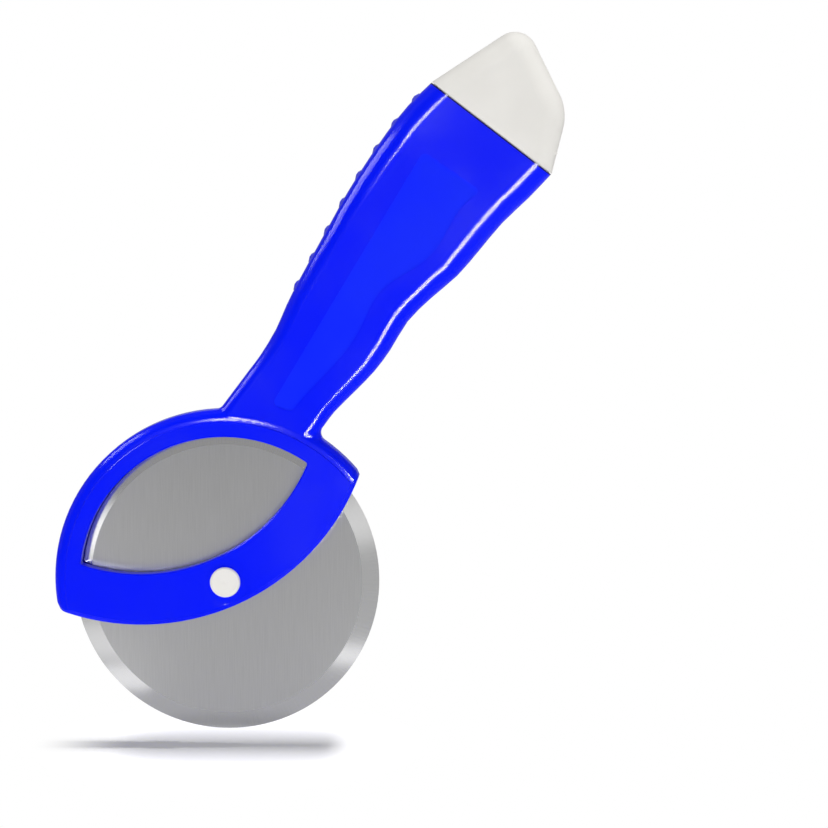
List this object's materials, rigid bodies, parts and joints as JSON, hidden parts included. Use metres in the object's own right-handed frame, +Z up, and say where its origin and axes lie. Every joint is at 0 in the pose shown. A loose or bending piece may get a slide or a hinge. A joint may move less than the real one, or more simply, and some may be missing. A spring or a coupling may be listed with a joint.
{
  "type": "pizza cutter wheel",
  "caption": "Hand-held pizza cutter: a bevelled steel disc spins in a slotted leaf-shaped guard with a window, moulded in one with a curved hollow grip, closed by an end cap.",
  "frame": {"origin": "middle of the grip: on the grip's centre line, halfway through its thickness", "axes": "+Z up as the cutter is held in use, +X to the side that the grip leans to, +Y towards the back; the disc's axis lies along Y"},
  "size_m": [0.116, 0.016, 0.1586],
  "materials": {
    "blue_plastic": "glossy moulded plastic, with matte sunk panels on the grip",
    "white_plastic": "satin moulded plastic, warm white",
    "steel": "fine brushed stainless steel, ground bevel"
  },
  "bodies": {
    "grip_body": {"handle": "blue_plastic", "end_cap": "white_plastic", "axle_pin": "white_plastic", "axle_stud": "white_plastic"},
    "wheel": {"cutting_disc": "steel"}
  },
  "joints": [
    {"name": "wheel_spin", "type": "hinge", "parent": "grip_body", "child": "wheel", "pos_m": [-0.03939, 0, -0.07512], "axis": [0, 1, 0], "continuous": true}
  ]
}
